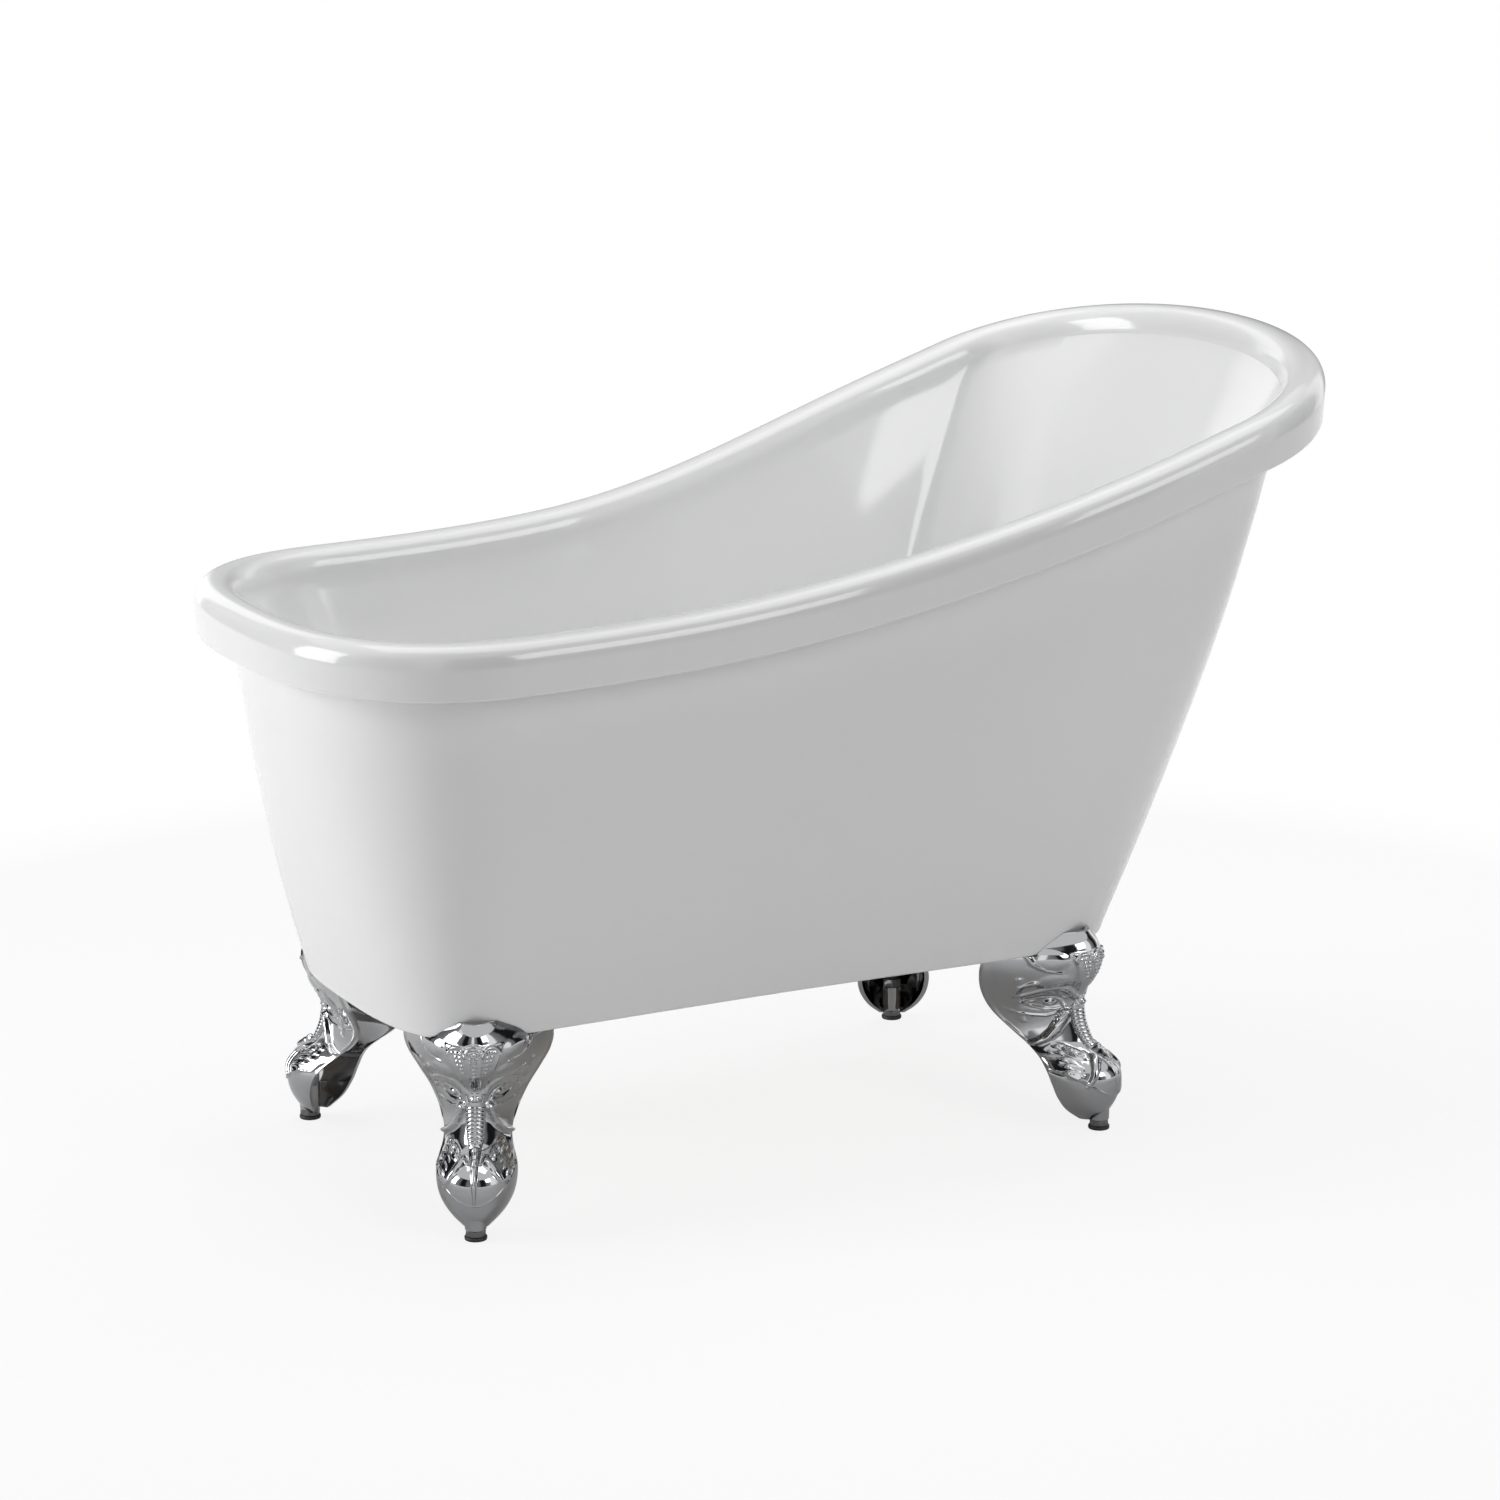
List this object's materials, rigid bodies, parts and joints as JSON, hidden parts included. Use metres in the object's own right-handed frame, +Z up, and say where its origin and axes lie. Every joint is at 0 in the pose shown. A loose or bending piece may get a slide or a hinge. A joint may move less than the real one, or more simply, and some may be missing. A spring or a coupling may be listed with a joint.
{
  "type": "clawfoot bathtub",
  "caption": "Short slipper bath with a rolled rim that climbs to the head end, a double skin, cast claw feet with levelling screws, and a push-down waste and overflow.",
  "frame": {"origin": "on the floor under the middle of the rim", "axes": "+Z up, +X toward the high head end, -Y the side nearest the picture's camera"},
  "size_m": [1.05, 0.5697, 0.7235],
  "materials": {
    "acrylic": "high gloss white acrylic",
    "board": "raw board, sealed with resin",
    "foot_plating": "bright plated casting",
    "zinc_steel": "zinc plated",
    "leveller_steel": "dull plated",
    "pad_plastic": "moulded, dark",
    "waste_plating": "polished plating",
    "brass": "machined",
    "cartridge_plastic": "moulded",
    "seal_rubber": "moulded",
    "waste_plastic": "moulded white"
  },
  "bodies": {
    "bath": {"base_board": "board", "bracket_head_left": "zinc_steel", "bracket_head_right": "zinc_steel", "bracket_screws": "zinc_steel", "bracket_toe_left": "zinc_steel", "bracket_toe_right": "zinc_steel", "foot_bolt_nuts": "zinc_steel", "foot_bolts": "zinc_steel", "foot_head_left": "foot_plating", "foot_head_right": "foot_plating", "foot_toe_left": "foot_plating", "foot_toe_right": "foot_plating", "foot_washers": "zinc_steel", "inner_shell": "acrylic", "leveller_lock_nuts": "leveller_steel", "outer_shell": "acrylic", "overflow_back_seal": "seal_rubber", "overflow_body": "waste_plastic", "overflow_cover": "waste_plating", "overflow_front_seal": "seal_rubber", "overflow_nuts": "waste_plastic", "overflow_pipe": "waste_plastic", "overflow_screw": "waste_plating", "plug_cartridge": "cartridge_plastic", "waste_back_nut": "brass", "waste_body": "waste_plastic", "waste_flange": "waste_plating", "waste_lower_seal": "seal_rubber", "waste_top_seal": "seal_rubber"},
    "plug": {"plug_cap": "waste_plating", "plug_seal": "seal_rubber", "plug_stem": "brass"},
    "pad_toe_left": {"leveller_pad_toe_left": "pad_plastic"},
    "screw_toe_left": {"leveller_screw_toe_left": "leveller_steel"},
    "pad_toe_right": {"leveller_pad_toe_right": "pad_plastic"},
    "screw_toe_right": {"leveller_screw_toe_right": "leveller_steel"},
    "pad_head_left": {"leveller_pad_head_left": "pad_plastic"},
    "screw_head_left": {"leveller_screw_head_left": "leveller_steel"},
    "pad_head_right": {"leveller_pad_head_right": "pad_plastic"},
    "screw_head_right": {"leveller_screw_head_right": "leveller_steel"}
  },
  "joints": [
    {"name": "plug_lift", "type": "slide", "parent": "bath", "child": "plug", "axis": [0, 0, 1], "range_m": [0, 0.009]},
    {"name": "leveller_toe_left", "type": "slide", "parent": "bath", "child": "pad_toe_left", "axis": [0, 0, -1], "range_m": [0, 0.012]},
    {"name": "leveller_turn_toe_left", "type": "hinge", "parent": "pad_toe_left", "child": "screw_toe_left", "pos_m": [-0.3875, -0.185, 0.02], "axis": [0, 0, -1], "range_deg": [0, 2881]},
    {"name": "leveller_toe_right", "type": "slide", "parent": "bath", "child": "pad_toe_right", "axis": [0, 0, -1], "range_m": [0, 0.012]},
    {"name": "leveller_turn_toe_right", "type": "hinge", "parent": "pad_toe_right", "child": "screw_toe_right", "pos_m": [-0.3875, 0.185, 0.02], "axis": [0, 0, -1], "range_deg": [0, 2881]},
    {"name": "leveller_head_left", "type": "slide", "parent": "bath", "child": "pad_head_left", "axis": [0, 0, -1], "range_m": [0, 0.012]},
    {"name": "leveller_turn_head_left", "type": "hinge", "parent": "pad_head_left", "child": "screw_head_left", "pos_m": [0.25, -0.193, 0.02], "axis": [0, 0, -1], "range_deg": [0, 2881]},
    {"name": "leveller_head_right", "type": "slide", "parent": "bath", "child": "pad_head_right", "axis": [0, 0, -1], "range_m": [0, 0.012]},
    {"name": "leveller_turn_head_right", "type": "hinge", "parent": "pad_head_right", "child": "screw_head_right", "pos_m": [0.25, 0.193, 0.02], "axis": [0, 0, -1], "range_deg": [0, 2881]}
  ],
  "couplings": [
    {"joint": "leveller_turn_toe_left", "follows": "leveller_toe_left", "rad_per_m": 4188.8},
    {"joint": "leveller_turn_toe_right", "follows": "leveller_toe_right", "rad_per_m": 4188.8},
    {"joint": "leveller_turn_head_left", "follows": "leveller_head_left", "rad_per_m": 4188.8},
    {"joint": "leveller_turn_head_right", "follows": "leveller_head_right", "rad_per_m": 4188.8}
  ]
}
